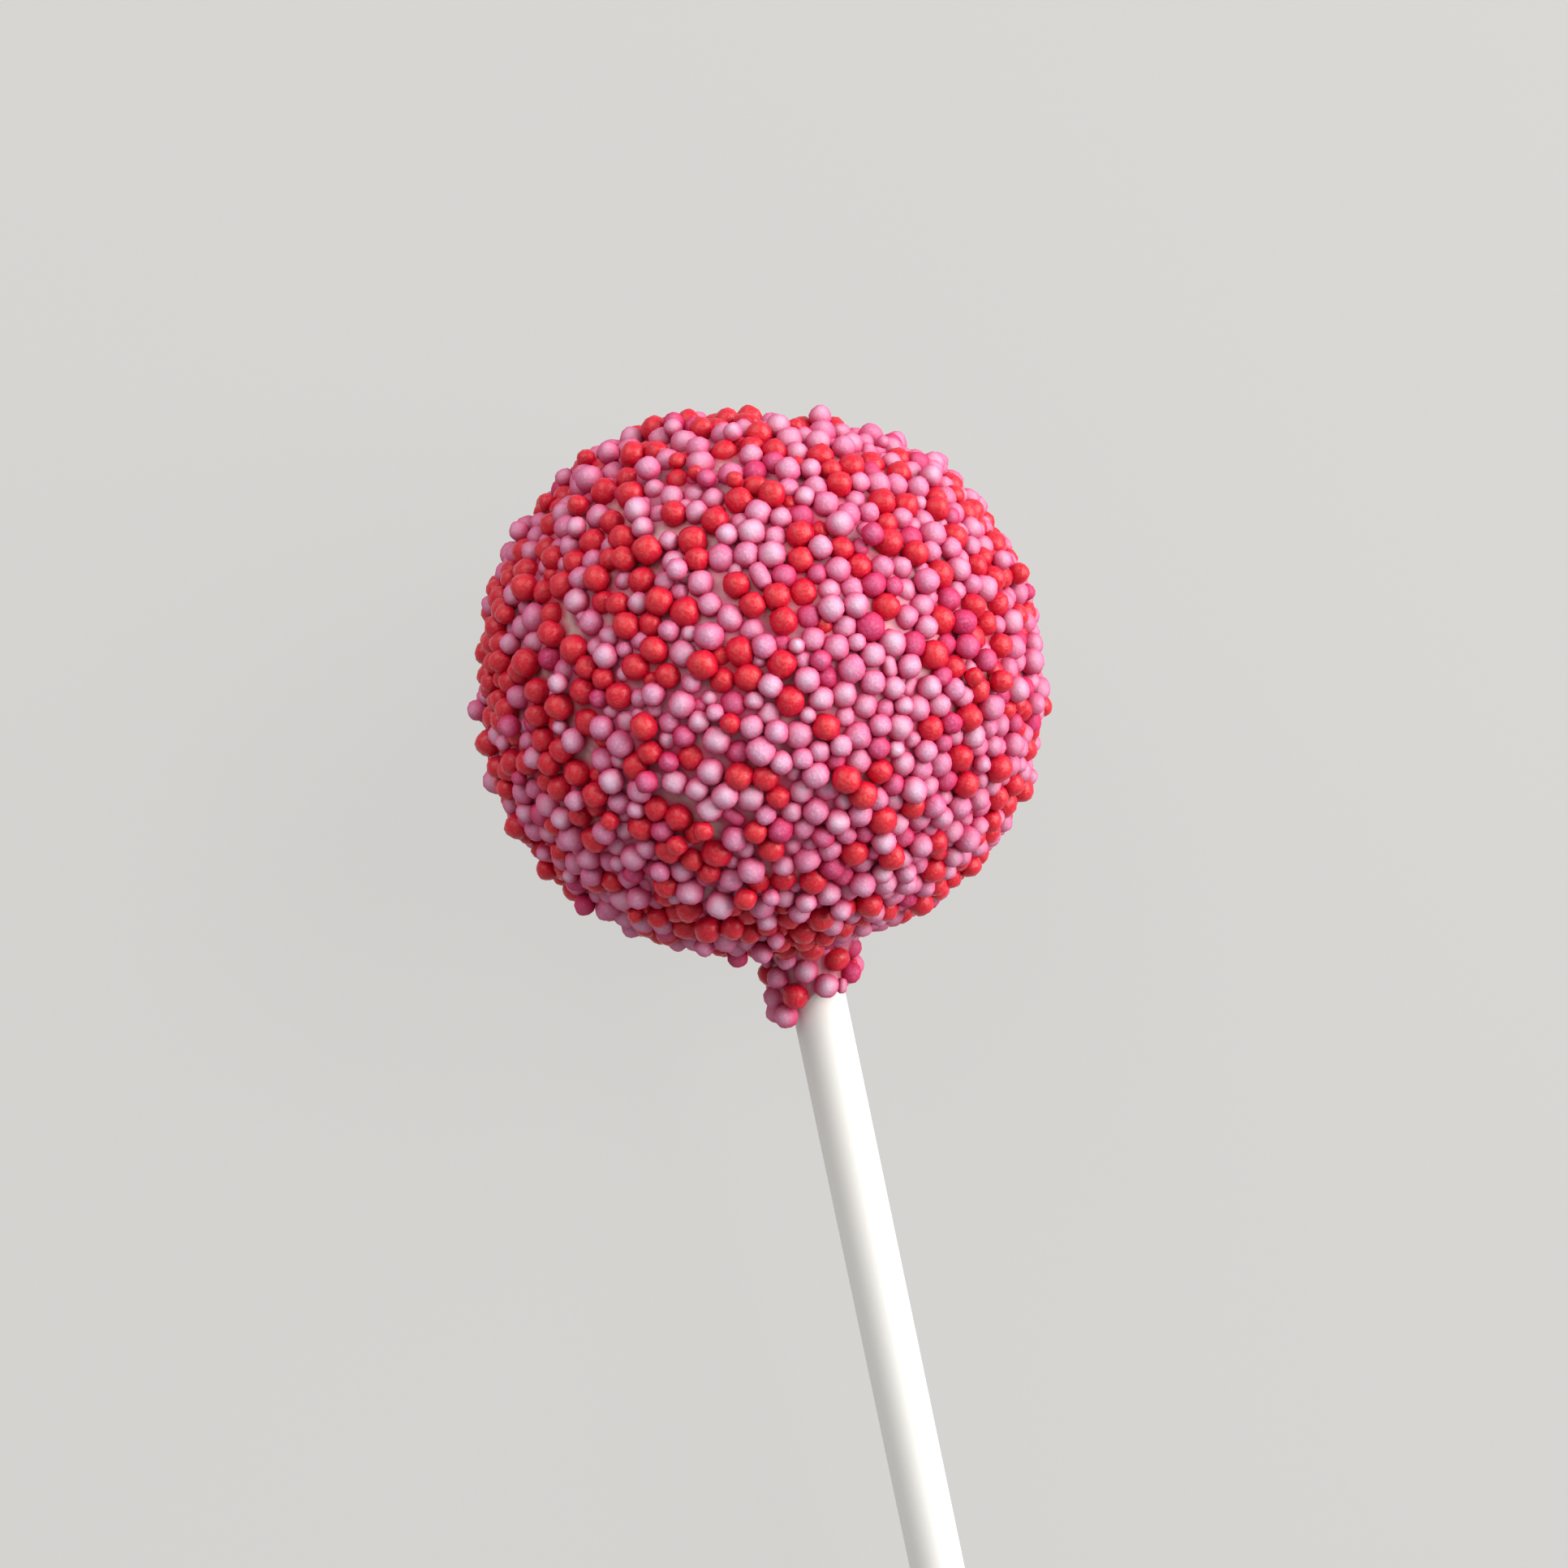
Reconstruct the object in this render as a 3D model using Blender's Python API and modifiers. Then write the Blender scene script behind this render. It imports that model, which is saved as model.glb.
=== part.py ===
"""A cake pop lying on its side: a coated ball of cake rolled in sugar balls, on a paper stick.

The shown side of the ball is up (+Z) and the free end of the stick points along -Y. A small
flat spot under the ball and the rim of the stick's free end rest on the plane z = 0.
"""

import math
import random

import bmesh
import bpy
from mathutils import Matrix, Vector

# Driving dimensions, in metres unless a line says degrees
STICK_DIAMETER = 0.0040
STICK_LENGTH = 0.150
STICK_PAST_MIDDLE = 0.002  # the stick's inner end lies this far past the ball's middle
STICK_BEVEL = 0.0003
STICK_SIDES = 32
CLEARANCE = 0.0003  # the gap between the stick and the coat round it

BALL_RADIUS = 0.0187  # the coated cake where it is roundest, without its sugar balls
BALL_OFFSET = 0.0005  # the ball's middle lies this far to +X of the stick's axis
REST_HEIGHT = 0.0189  # the ball's middle above the surface that it lies on

# Where the ball is flatter than round: direction in plan and height above the horizon as seen
# from its middle (degrees), depth as a share of the radius, and spread (degrees).
FLATS = {
    "far end": (74, 0, 0.100, 21),
    "stick end": (260, -7, 0.060, 46),
    "left side": (165, 0, 0.035, 16),
    "right side": (-9, 0, 0.025, 10),
    "underside": (0, -90, 0.030, 35),
    "upper face": (200, 55, 0.015, 30),
}

# The coat runs a little way down the stick as a collar. Distances are from the ball's middle.
COLLAR_ROOT = 0.0160
COLLAR_WAIST = 0.0190
COLLAR_TIP = 0.0218
COLLAR_ROOT_RADIUS = 0.0046
COLLAR_RADIUS = 0.0027
COLLAR_SLANT = 0.15  # how much further the collar reaches on its -X side, as a slope
COLLAR_STEPS = 20

# The largest of the sugar balls, which show from a step away. Sizes are radii.
SUGAR_COUNT = 280
SUGAR_LARGE = 0.00097
SUGAR_SMALL = 0.00084
SUGAR_LIFT = 0.35  # a ball's middle stands this share of its radius above the coat
SUGAR_JITTER = 0.0005
SUGAR_SEED = 7
GOLDEN_ANGLE = math.pi * (3 - math.sqrt(5))

# Colour, share and relative size of each kind of sugar ball
SUGAR_KINDS = {
    "red": ((0.62, 0.03, 0.05, 1.0), 0.45, 1.02),
    "light": ((0.80, 0.36, 0.55, 1.0), 0.48, 0.96),
    "deep": ((0.66, 0.07, 0.26, 1.0), 0.07, 0.90),
}

# Rings of sugar balls on the collar, from the ball outwards: distance from the ball's middle,
# the angle of the first one round the stick (degrees), and the kinds from there on.
COLLAR_RINGS = (
    (0.0197, 8, ("deep", "red", "light", "light", "red", "light", "red", "light")),
    (0.0212, 30, ("deep", "light", "red", "light", "red", "light", "deep", "light")),
    (0.0225, 143, ("light", "light")),
)
RING_PLACES = 8  # places all the way round
RING_RADIUS = 0.0030  # from the stick's axis to the middle of a sugar ball
RING_SUGAR = 0.00090

# Colours of the coat and the paper
COAT_IVORY = (0.83, 0.77, 0.72, 1.0)
PAPER_WHITE = (0.90, 0.89, 0.86, 1.0)
SMOOTH_BELOW = 50  # degrees between two faces, past which the edge shows as a crease


def stick_tilt():
    """The angle at which the stick's lower rim meets the surface under the ball."""
    reach = STICK_LENGTH - STICK_PAST_MIDDLE - STICK_BEVEL
    radius = STICK_DIAMETER / 2
    return math.asin(REST_HEIGHT / math.hypot(reach, radius)) - math.atan2(radius, reach)


TILT = stick_tilt()
SIDEWAYS = Vector((1, 0, 0))
ALONG_STICK = Vector((0, -math.cos(TILT), -math.sin(TILT)))  # from the ball to the free end
ABOVE_STICK = Vector((0, -math.sin(TILT), math.cos(TILT)))


def direction(plan, height):
    """The unit vector at these two angles, in degrees."""
    flat = math.cos(math.radians(height))
    turn = math.radians(plan)
    return Vector((flat * math.cos(turn), flat * math.sin(turn), math.sin(math.radians(height))))


def round_stick(turn):
    """The unit vector at this angle round the stick, in radians from +X over the top."""
    return SIDEWAYS * math.cos(turn) + ABOVE_STICK * math.sin(turn)


def coat_radius(towards):
    """How far the coat's surface is from the ball's middle in this direction."""
    depth = 0.0
    for plan, height, share, spread in FLATS.values():
        angle = math.degrees(towards.angle(direction(plan, height)))
        depth += share * math.exp(-((angle / spread) ** 2))
    return BALL_RADIUS * (1 - depth)


def on_coat(towards, lift=0.0):
    """The point in this direction that is a given height above the coat."""
    return SIDEWAYS * BALL_OFFSET + towards * (coat_radius(towards) + lift)


def beside_stick(point):
    """The part of a point's place that is square to the stick's axis."""
    return point - ALONG_STICK * point.dot(ALONG_STICK)


def sugar_spots():
    """(middle, radius, outward direction, kind) of each sugar ball on the cake, evenly spread.

    They lie on a spiral whose axis is the stick's, so that it opens evenly round the collar.
    """
    draw = random.Random(SUGAR_SEED)
    shares = [share for _, share, _ in SUGAR_KINDS.values()]
    spots = []
    for number in range(SUGAR_COUNT):
        height = 1 - 2 * (number + 0.5) / SUGAR_COUNT
        towards = ALONG_STICK * height
        towards += round_stick(number * GOLDEN_ANGLE) * math.sqrt(1 - height * height)
        shift = Vector([draw.uniform(-1, 1) for _ in range(3)]) * SUGAR_JITTER
        towards = (towards * BALL_RADIUS + shift).normalized()
        radius = draw.uniform(SUGAR_SMALL, SUGAR_LARGE)
        kind = draw.choices(list(SUGAR_KINDS), shares)[0]
        radius *= SUGAR_KINDS[kind][2]
        middle = on_coat(towards, SUGAR_LIFT * radius)
        near_collar = beside_stick(middle).length < COLLAR_ROOT_RADIUS + radius
        if not (near_collar and towards.dot(ALONG_STICK) > 0):
            spots.append((middle, radius, towards, kind))
    return spots


def collar_spots():
    """(middle, radius, outward direction, kind) of each sugar ball on the collar."""
    spots = []
    for distance, first, kinds in COLLAR_RINGS:
        for place, kind in enumerate(kinds):
            turn = math.radians(first) + 2 * math.pi * place / RING_PLACES
            slide = COLLAR_SLANT * RING_RADIUS * math.cos(turn)
            middle = ALONG_STICK * (distance - slide) + round_stick(turn) * RING_RADIUS
            radius = RING_SUGAR * SUGAR_KINDS[kind][2]
            spots.append((middle, radius, round_stick(turn), kind))
    return spots


def clear_scene():
    for found in list(bpy.data.objects):
        bpy.data.objects.remove(found, do_unlink=True)


def new_collection(name):
    made = bpy.data.collections.new(name)
    bpy.context.scene.collection.children.link(made)
    return made


def material(name, colour, roughness):
    made = bpy.data.materials.new(name)
    made.use_nodes = True
    shader = made.node_tree.nodes["Principled BSDF"]
    shader.inputs["Base Color"].default_value = colour
    shader.inputs["Roughness"].default_value = roughness
    shader.inputs["Metallic"].default_value = 0.0
    made.diffuse_color = colour
    return made


def mesh_from(bm, name, finish=None):
    mesh = bpy.data.meshes.new(name)
    bm.to_mesh(mesh)
    bm.free()
    if finish:
        mesh.materials.append(finish)
    return mesh


def new_object(name, mesh, collection):
    made = bpy.data.objects.new(name, mesh)
    collection.objects.link(made)
    return made


def stick_matrix(distance):
    """Puts a shape's +Z along the stick, with its origin this far from the ball's middle."""
    turn = Matrix((SIDEWAYS, ALONG_STICK.cross(SIDEWAYS), ALONG_STICK)).transposed()
    return Matrix.Translation(ALONG_STICK * distance) @ turn.to_4x4()


def cake_ball(collection, finish):
    """The coated cake: a sphere pressed in where it is flatter than round."""
    bm = bmesh.new()
    bmesh.ops.create_icosphere(bm, subdivisions=3, radius=1.0)
    for vert in bm.verts:
        vert.co = on_coat(vert.co.normalized())
    return new_object("coated_ball", mesh_from(bm, "coated_ball", finish), collection)


def collar(collection, finish):
    """The coat's collar on the stick: a turned profile with a slanting tip."""
    bend = COLLAR_RADIUS + 0.3 * (COLLAR_ROOT_RADIUS - COLLAR_RADIUS)
    outline = (
        (0.0, COLLAR_ROOT),
        (COLLAR_ROOT_RADIUS, COLLAR_ROOT),
        (bend, COLLAR_WAIST - 0.0006),
        (COLLAR_RADIUS, COLLAR_WAIST + 0.0006),
        (COLLAR_RADIUS, COLLAR_TIP),
        (0.0, COLLAR_TIP),
    )
    bm = bmesh.new()
    verts = [bm.verts.new((across, 0, along)) for across, along in outline]
    edges = [bm.edges.new(pair) for pair in zip(verts, verts[1:])]
    bmesh.ops.spin(
        bm, geom=verts + edges, axis=(0, 0, 1), cent=(0, 0, 0), steps=COLLAR_STEPS, angle=2 * math.pi
    )
    bmesh.ops.remove_doubles(bm, verts=bm.verts, dist=0.00001)
    bmesh.ops.recalc_face_normals(bm, faces=bm.faces)
    for vert in bm.verts:
        if vert.co.z > COLLAR_WAIST:
            vert.co.z -= COLLAR_SLANT * vert.co.x
    made = new_object("collar", mesh_from(bm, "collar", finish), collection)
    made.matrix_world = stick_matrix(0)


def sugar_mesh(name, finish):
    """A small faceted ball of radius 1, which every sugar ball of its kind shares."""
    bm = bmesh.new()
    bmesh.ops.create_icosphere(bm, subdivisions=1, radius=1.0)
    return mesh_from(bm, name, finish)


def sugar_balls(spots, collection):
    """One sugar ball for each spot, with a corner outwards."""
    meshes = {}
    for kind, (colour, _, _) in SUGAR_KINDS.items():
        meshes[kind] = sugar_mesh(f"{kind}_sugar", material(f"{kind}_sugar", colour, 0.5))
    draw = random.Random(SUGAR_SEED + 1)
    for number, (middle, radius, outward, kind) in enumerate(spots):
        made = new_object(f"sugar_{number:03d}", meshes[kind], collection)
        spin = Matrix.Rotation(draw.uniform(0, 2 * math.pi), 4, outward)
        facing = spin @ outward.to_track_quat("Z", "Y").to_matrix().to_4x4()
        made.matrix_world = Matrix.Translation(middle) @ facing @ Matrix.Scale(radius, 4)


def rod(name, radius, start, end, collection, finish=None):
    """A closed cylinder on the stick's axis between two distances from the ball's middle."""
    bm = bmesh.new()
    bmesh.ops.create_cone(
        bm, cap_ends=True, segments=STICK_SIDES, radius1=radius, radius2=radius, depth=end - start
    )
    made = new_object(name, mesh_from(bm, name, finish), collection)
    made.matrix_world = stick_matrix((start + end) / 2)
    return made


def paper_stick(collection):
    """The stick, from just past the ball's middle to its free end."""
    finish = material("rolled_paper", PAPER_WHITE, 0.6)
    end = STICK_LENGTH - STICK_PAST_MIDDLE
    made = rod("stick", STICK_DIAMETER / 2, -STICK_PAST_MIDDLE, end, collection, finish)
    made.data.shade_smooth()
    made.data.set_sharp_from_angle(angle=math.radians(40))
    rim = made.modifiers.new("worn_rim", "BEVEL")
    rim.width = STICK_BEVEL
    rim.segments = 1
    rim.angle_limit = math.radians(60)
    return made


def stick_hole(collection):
    """The room for the stick in the ball, open at the collar's tip."""
    start = -STICK_PAST_MIDDLE - CLEARANCE
    return rod("stick_hole", STICK_DIAMETER / 2 + CLEARANCE, start, STICK_LENGTH, collection)


def surface_cutter(collection):
    """A block whose top is the surface that the ball lies on."""
    bm = bmesh.new()
    bmesh.ops.create_cube(bm, size=1.0)
    made = new_object("surface_cutter", mesh_from(bm, "surface_cutter"), collection)
    side = 4 * BALL_RADIUS
    made.scale = (side, side, BALL_RADIUS)
    made.location = (0, 0, -REST_HEIGHT - BALL_RADIUS / 2)
    return made


def boolean(target, name, operation):
    modifier = target.modifiers.new(name, "BOOLEAN")
    modifier.operation = operation
    modifier.material_mode = "TRANSFER"
    return modifier


def apply_to(target, modifier):
    bpy.context.view_layer.objects.active = target
    bpy.ops.object.modifier_apply(modifier=modifier.name)


def join_all(target, collection):
    """Fuses everything in the collection onto the target, then removes it."""
    modifier = boolean(target, "join", "UNION")
    modifier.operand_type = "COLLECTION"
    modifier.collection = collection
    apply_to(target, modifier)
    for joined in list(collection.objects):
        bpy.data.objects.remove(joined, do_unlink=True)
    bpy.data.collections.remove(collection)


def cut(target, cutter):
    modifier = boolean(target, cutter.name, "DIFFERENCE")
    modifier.object = cutter
    apply_to(target, modifier)
    cutter.hide_render = True
    cutter.display_type = "WIRE"


def drop_scraps(target):
    """Removes any loose scrap that a cut has left beside the main body."""
    bm = bmesh.new()
    bm.from_mesh(target.data)
    bodies = []
    left = set(bm.verts)
    while left:
        start = left.pop()
        body, open_ends = {start}, [start]
        while open_ends:
            vert = open_ends.pop()
            found = {edge.other_vert(vert) for edge in vert.link_edges} & left
            left -= found
            body |= found
            open_ends += found
        bodies.append(body)
    bodies.sort(key=len)
    for scrap in bodies[:-1]:
        bmesh.ops.delete(bm, geom=list(scrap), context="VERTS")
    bm.to_mesh(target.data)
    bm.free()


def coated_ball(collection, cutters):
    """The ball with its collar and sugar balls in one piece, cut for the stick and to lie flat."""
    toppings = new_collection("toppings")
    coat = material("ivory_coat", COAT_IVORY, 0.5)
    made = cake_ball(collection, coat)
    collar(toppings, coat)
    sugar_balls(sugar_spots() + collar_spots(), toppings)
    join_all(made, toppings)
    cut(made, stick_hole(cutters))
    cut(made, surface_cutter(cutters))
    drop_scraps(made)
    made.data.shade_smooth()
    made.data.set_sharp_from_angle(angle=math.radians(SMOOTH_BELOW))
    return made


def world_box(objects):
    """The lowest and highest corner of the objects as they are shown."""
    graph = bpy.context.evaluated_depsgraph_get()
    points = []
    for found in objects:
        evaluated = found.evaluated_get(graph)
        mesh = evaluated.to_mesh()
        points += [evaluated.matrix_world @ vert.co for vert in mesh.vertices]
        evaluated.to_mesh_clear()
    low = [min(point[axis] for point in points) for axis in range(3)]
    high = [max(point[axis] for point in points) for axis in range(3)]
    return low, high


def main():
    clear_scene()
    parts = new_collection("cake_pop")
    cutters = new_collection("cutters")
    pieces = [coated_ball(parts, cutters), paper_stick(parts)]
    bpy.context.view_layer.update()

    # The origin is under the middle of the whole, on the surface that it lies on.
    low, high = world_box(pieces)
    root = bpy.data.objects.new("cake_pop_root", None)
    parts.objects.link(root)
    root.location = (-(low[0] + high[0]) / 2, -(low[1] + high[1]) / 2, REST_HEIGHT)
    for piece in [*pieces, *cutters.objects]:
        piece.parent = root


main()
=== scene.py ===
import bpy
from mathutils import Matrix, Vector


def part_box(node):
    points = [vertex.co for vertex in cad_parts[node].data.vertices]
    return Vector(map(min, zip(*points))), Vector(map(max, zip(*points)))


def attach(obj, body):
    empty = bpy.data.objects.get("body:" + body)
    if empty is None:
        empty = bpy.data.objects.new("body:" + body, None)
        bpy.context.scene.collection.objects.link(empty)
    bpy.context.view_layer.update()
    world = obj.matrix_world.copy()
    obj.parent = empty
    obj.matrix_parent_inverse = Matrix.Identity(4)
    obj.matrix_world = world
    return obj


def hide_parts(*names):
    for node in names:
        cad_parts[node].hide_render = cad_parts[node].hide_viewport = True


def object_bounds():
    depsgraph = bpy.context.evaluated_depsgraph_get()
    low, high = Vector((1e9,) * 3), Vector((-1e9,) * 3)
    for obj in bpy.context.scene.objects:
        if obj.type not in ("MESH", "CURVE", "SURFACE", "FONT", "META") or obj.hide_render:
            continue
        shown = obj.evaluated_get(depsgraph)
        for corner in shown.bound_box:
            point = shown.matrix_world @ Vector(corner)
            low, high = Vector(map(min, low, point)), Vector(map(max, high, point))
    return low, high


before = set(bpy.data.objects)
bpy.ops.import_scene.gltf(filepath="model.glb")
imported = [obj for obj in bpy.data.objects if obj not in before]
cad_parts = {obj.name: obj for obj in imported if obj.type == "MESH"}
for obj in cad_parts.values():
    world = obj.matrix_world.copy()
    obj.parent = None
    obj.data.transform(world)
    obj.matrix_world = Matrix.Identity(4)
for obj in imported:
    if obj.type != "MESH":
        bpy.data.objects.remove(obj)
cad_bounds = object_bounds()
print("CAD box", cad_bounds)

# %% [markdown]
# This script dresses a cake pop that lies on its side. The frame has two solids: the coated ball
# with its largest sugar balls, and the stick. Both keep their form here, and both get a finer
# mesh: the coat is a thin skin of ivory candy with some 2,300 small sugar balls pressed into it,
# and the stick is rolled paper. All sizes are in metres.

# %% Tools
import math
import random

import bpy
import numpy as np
from mathutils import Matrix, Vector
from mathutils.kdtree import KDTree

MM = 0.001
SELECT_MODES = {"vertices": "VERT", "edges": "EDGE", "polygons": "FACE"}


def clear_selection():
    for found in list(bpy.context.selected_objects):
        found.select_set(False)


def edit(piece, select_mode="VERT"):
    """Opens one piece in edit mode with nothing selected."""
    clear_selection()
    bpy.context.view_layer.objects.active = piece
    piece.select_set(True)
    bpy.ops.object.mode_set(mode="EDIT")
    bpy.ops.mesh.select_mode(type=select_mode)
    bpy.ops.mesh.select_all(action="DESELECT")


def leave_edit():
    bpy.ops.object.mode_set(mode="OBJECT")


def pick(piece, chosen, kind="vertices"):
    """Selects, in the piece that is open, only the vertices, edges or faces that pass a test."""
    bpy.ops.mesh.select_mode(type=SELECT_MODES[kind])
    bpy.ops.mesh.select_all(action="DESELECT")
    leave_edit()
    for element in getattr(piece.data, kind):
        element.select = bool(chosen(element))
    bpy.ops.object.mode_set(mode="EDIT")


def points_of(mesh):
    """The vertices of a mesh as an array, one row each."""
    flat = np.empty(len(mesh.vertices) * 3, np.float64)
    mesh.vertices.foreach_get("co", flat)
    return flat.reshape(-1, 3)


def set_points(mesh, points):
    mesh.vertices.foreach_set("co", np.asarray(points, np.float32).ravel())
    mesh.update()


clear_selection()

# %% [markdown]
# The frame gives the place, and the part's own sizes give the rest. The stick's box tells where
# its axis lies, and from the stick's tilt and length follows the middle of the ball. The ball is
# not quite round: it is pressed in at a few places, each a shallow dip with a direction, a depth
# and a spread. The same formula shaped the solid, so the fine coat lies on it exactly.

# %% Sizes and the ball's form
STICK_DIAMETER = 4.0 * MM
STICK_LENGTH = 150 * MM
STICK_PAST_MIDDLE = 2.0 * MM
STICK_BEVEL = 0.3 * MM
BALL_RADIUS = 18.7 * MM
BALL_OFFSET = 0.5 * MM
REST_HEIGHT = 18.9 * MM

# Direction in plan, height above the horizon (degrees), depth (share of radius), spread (degrees)
FLATS = {
    "far end": (74, 0, 0.100, 21),
    "stick end": (260, -7, 0.060, 46),
    "left side": (165, 0, 0.035, 16),
    "right side": (-9, 0, 0.025, 10),
    "underside": (0, -90, 0.030, 35),
    "upper face": (200, 55, 0.015, 30),
}

reach = STICK_LENGTH - STICK_PAST_MIDDLE - STICK_BEVEL
TILT = math.asin(REST_HEIGHT / math.hypot(reach, STICK_DIAMETER / 2))
TILT -= math.atan2(STICK_DIAMETER / 2, reach)
SIDEWAYS = np.array((1.0, 0.0, 0.0))
ALONG = np.array((0.0, -math.cos(TILT), -math.sin(TILT)))
ABOVE = np.array((0.0, -math.sin(TILT), math.cos(TILT)))

stick_low, stick_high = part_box("stick")
past = STICK_PAST_MIDDLE * math.cos(TILT) + (STICK_DIAMETER / 2 - STICK_BEVEL) * math.sin(TILT)
MIDDLE = np.array(((stick_low.x + stick_high.x) / 2, stick_high.y - past, REST_HEIGHT))


def direction(plan, height):
    flat = math.cos(math.radians(height))
    turn = math.radians(plan)
    return np.array((flat * math.cos(turn), flat * math.sin(turn), math.sin(math.radians(height))))


def coat_radius(towards):
    """How far the coat is from the ball's middle, for an array of directions."""
    depth = np.zeros(len(towards))
    for plan, height, share, spread in FLATS.values():
        angle = np.degrees(np.arccos(np.clip(towards @ direction(plan, height), -1, 1)))
        depth += share * np.exp(-((angle / spread) ** 2))
    return BALL_RADIUS * (1 - depth)


def on_coat(towards, lift):
    """The points in these directions that are a given height above the coat."""
    return SIDEWAYS * BALL_OFFSET + towards * (coat_radius(towards) + lift)[:, None]


def unit(vectors):
    return vectors / np.linalg.norm(vectors, axis=-1, keepdims=True)


print("tilt of the stick, degrees:", round(math.degrees(TILT), 2), " middle of the ball:", MIDDLE)

# %% [markdown]
# The photo looked at the ball square on while it was held upright in front of a wall. Here it lies
# on its side, so the same view is from straight above, turned a little so that the stick runs down
# to the right. Two measures of the photo set the camera: the stick is 70 pixels wide there, and
# the middle of the ball is a little up and left of the middle of the picture.

# %% Camera
CAMERA_HEIGHT = 140 * MM  # above the middle of the ball
PHOTO_WIDTH = 1932  # pixels
FOCAL_PIXELS = 2478
SENSOR = 36.0  # millimetres
ROLL = math.radians(11.79)
MIDDLE_LEFT = 2.16 * MM  # the ball's middle lies this far left of the lens's axis
MIDDLE_UP = 6.67 * MM

image_right = np.array((math.cos(ROLL), -math.sin(ROLL), 0.0))
image_up = np.array((math.sin(ROLL), math.cos(ROLL), 0.0))
towards_camera = np.array((0.0, 0.0, 1.0))
eye = MIDDLE + image_right * MIDDLE_LEFT - image_up * MIDDLE_UP + towards_camera * CAMERA_HEIGHT

lens = bpy.data.cameras.new("photo_lens")
lens.sensor_width = SENSOR
lens.lens = FOCAL_PIXELS / PHOTO_WIDTH * SENSOR
lens.clip_start = 0.005
camera = bpy.data.objects.new("photo_camera", lens)
bpy.context.scene.collection.objects.link(camera)
axes = Matrix((image_right, image_up, towards_camera)).transposed().to_4x4()
camera.matrix_world = Matrix.Translation(Vector(eye)) @ axes
bpy.context.scene.camera = camera
print("lens in millimetres:", round(lens.lens, 2))

# %% [markdown]
# The cake pop lies on a plain pale table that glows faintly, as a photographer's light table does,
# so the cast shadow stays light. The main light is large and low, from the upper right of the
# picture, and a weaker one comes from its upper left. The room adds little, so the chinks between
# the sugar balls stay dark and the ball's lower left side deep, as in the photo.

# %% Table and lights
LIGHT_COLOUR = (1.0, 0.985, 0.96)
LIGHT_DISTANCE = 0.45
KEY_PLAN = 10  # degrees in plan, from +X towards +Y
KEY_HEIGHT = 27  # degrees above the table
KEY_SIZE = 0.44
KEY_POWER = 4.4
FILL_PLAN = 112
FILL_HEIGHT = 45
FILL_SIZE = 0.36
FILL_POWER = 1.25
ROOM_LIGHT = 0.39
TABLE_SIZE = 1.6
TABLE_COLOUR = (0.05, 0.0495, 0.049, 1.0)
TABLE_GLOW = 0.598
TABLE_ROUGHNESS = 0.8
TABLE_GLOSS = 0.1

bpy.ops.mesh.primitive_plane_add(size=TABLE_SIZE, location=(0, 0, 0))
table = bpy.context.active_object
table.name = "table"
table_finish = bpy.data.materials.new("pale_table")
table_finish.use_nodes = True
table_shader = table_finish.node_tree.nodes["Principled BSDF"]
table_shader.inputs["Base Color"].default_value = TABLE_COLOUR
table_shader.inputs["Roughness"].default_value = TABLE_ROUGHNESS
table_shader.inputs["Specular IOR Level"].default_value = TABLE_GLOSS
table_shader.inputs["Emission Color"].default_value = (*LIGHT_COLOUR, 1.0)
table_shader.inputs["Emission Strength"].default_value = TABLE_GLOW
table.data.materials.append(table_finish)


def soft_light(name, plan, height, size, power):
    """A square lamp that faces the middle of the ball."""
    lamp = bpy.data.lights.new(name, "AREA")
    lamp.size = size
    lamp.energy = power
    lamp.color = LIGHT_COLOUR
    holder = bpy.data.objects.new(name, lamp)
    bpy.context.scene.collection.objects.link(holder)
    away = direction(plan, height)
    holder.location = Vector(MIDDLE + away * LIGHT_DISTANCE)
    holder.rotation_euler = Vector(away).to_track_quat("Z", "Y").to_euler()
    return holder


soft_light("key_light", KEY_PLAN, KEY_HEIGHT, KEY_SIZE, KEY_POWER)
soft_light("fill_light", FILL_PLAN, FILL_HEIGHT, FILL_SIZE, FILL_POWER)

room = bpy.data.worlds.new("white_room")
room.use_nodes = True
room.node_tree.nodes["Background"].inputs["Color"].default_value = (1.0, 1.0, 1.0, 1.0)
room.node_tree.nodes["Background"].inputs["Strength"].default_value = ROOM_LIGHT
bpy.context.scene.world = room
bpy.context.scene.view_settings.view_transform = "Standard"
print("soft lights at", KEY_HEIGHT, "and", FILL_HEIGHT, "degrees, a white room and a pale table")

# %% [markdown]
# The largest sugar balls are part of the solid, so they come first and stay where they are. They
# lie on a spiral that runs from the stick to the far end, each moved a little by a seeded draw.
# Three rings of them sit on the collar, where the coat ran down the stick.

# %% The largest sugar balls
SUGAR_COUNT = 280
SUGAR_LARGE = 0.97 * MM
SUGAR_SMALL = 0.84 * MM
SUGAR_LIFT = 0.35
SUGAR_JITTER = 0.5 * MM
SUGAR_SEED = 7
GOLDEN_ANGLE = math.pi * (3 - math.sqrt(5))
COLLAR_ROOT_RADIUS = 4.6 * MM
COLLAR_SLANT = 0.15

# Share and relative size of each kind
KINDS = {"red": (0.45, 1.02), "light": (0.48, 0.96), "deep": (0.07, 0.90)}

COLLAR_RINGS = (
    (19.7 * MM, 8, ("deep", "red", "light", "light", "red", "light", "red", "light")),
    (21.2 * MM, 30, ("deep", "light", "red", "light", "red", "light", "deep", "light")),
    (22.5 * MM, 143, ("light", "light")),
)
RING_PLACES = 8
RING_RADIUS = 3.0 * MM
RING_SUGAR = 0.90 * MM


def round_stick(turn):
    return SIDEWAYS * math.cos(turn) + ABOVE * math.sin(turn)


def beside_stick(points):
    """How far points are from the stick's axis."""
    points = np.atleast_2d(points)
    return np.linalg.norm(points - np.outer(points @ ALONG, ALONG), axis=1)


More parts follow.
